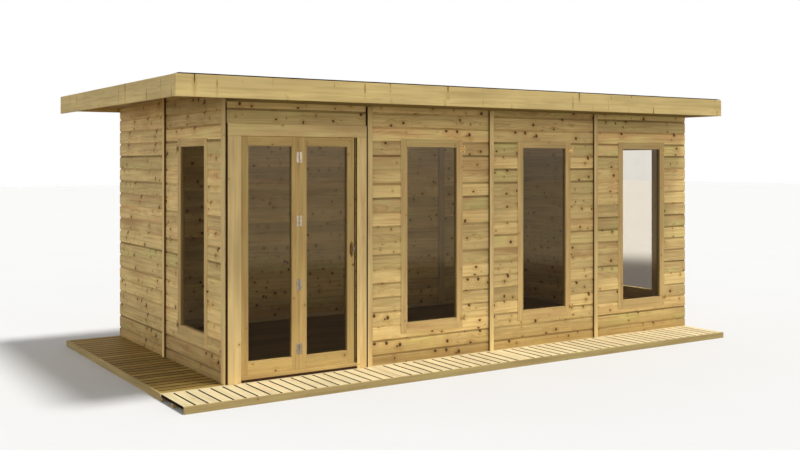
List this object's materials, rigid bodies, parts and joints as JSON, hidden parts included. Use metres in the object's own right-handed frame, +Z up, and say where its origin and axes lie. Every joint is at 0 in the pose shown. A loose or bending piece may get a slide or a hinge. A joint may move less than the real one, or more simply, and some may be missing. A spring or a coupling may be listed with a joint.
{
  "type": "garden office pod",
  "caption": "Flat-roofed timber garden room with a glazed folding door, tall windows, a deep roof overhang and a low deck along the front and one side.",
  "frame": {"origin": "ground level, in the middle of the plan of the whole object's box", "axes": "+X right along the front, +Y from the front to the back, +Z up; the front faces -Y"},
  "size_m": [5.349, 2.926, 2.235],
  "materials": {
    "wall_boarding": "pressure-treated pine boarding, greenish tan with small dark knots",
    "window_joinery": "planed pressure-treated pine, satin",
    "door_joinery": "planed pressure-treated pine, satin",
    "trim_timber": "sawn pressure-treated pine",
    "fascia_timber": "pale pressure-treated pine with narrow dark knots",
    "deck_timber": "pale treated pine deck boards",
    "framing_timber": "sawn treated pine",
    "floor_timber": "planed pine floor boards",
    "tinted_glass": "clear to lightly tinted glass",
    "hinge_brass": "satin brass",
    "hinge_steel": "satin steel",
    "handle_metal": "polished brass, slightly worn",
    "roof_felt": "mineral roofing felt, dark grey"
  },
  "bodies": {
    "root": {"over_door_panel": "wall_boarding", "door_post_left": "wall_boarding", "door_post_right": "wall_boarding", "front_panel_2": "wall_boarding", "front_panel_3": "wall_boarding", "front_panel_4": "wall_boarding", "left_panel_front": "wall_boarding", "left_panel_back": "wall_boarding", "right_panel_front": "wall_boarding", "right_panel_back": "wall_boarding", "back_panel_1": "wall_boarding", "back_panel_2": "wall_boarding", "back_panel_3": "wall_boarding", "back_panel_4": "wall_boarding", "window_frame_front_2": "window_joinery", "window_frame_front_3": "window_joinery", "window_frame_front_4": "window_joinery", "window_frame_left": "window_joinery", "window_frame_right": "window_joinery", "window_glass": "tinted_glass", "window_hinges": "hinge_brass", "door_head_trim": "trim_timber", "door_side_trims": "trim_timber", "door_sill": "door_joinery", "door_leaf_left": "door_joinery", "door_leaf_right": "door_joinery", "door_glass": "tinted_glass", "door_hinges": "hinge_steel", "door_handle": "handle_metal", "cover_strips": "trim_timber", "deck_front": "deck_timber", "deck_left": "deck_timber", "deck_edge_boards": "deck_timber", "deck_bearers": "framing_timber", "floor_bearers": "framing_timber", "floor": "floor_timber", "fascia_front": "fascia_timber", "fascia_left": "fascia_timber", "fascia_right": "fascia_timber", "fascia_back": "fascia_timber", "soffit_front": "fascia_timber", "soffit_end": "fascia_timber", "roof_joists": "framing_timber", "roof_boarding": "framing_timber", "roof_covering": "roof_felt"}
  },
  "joints": []
}
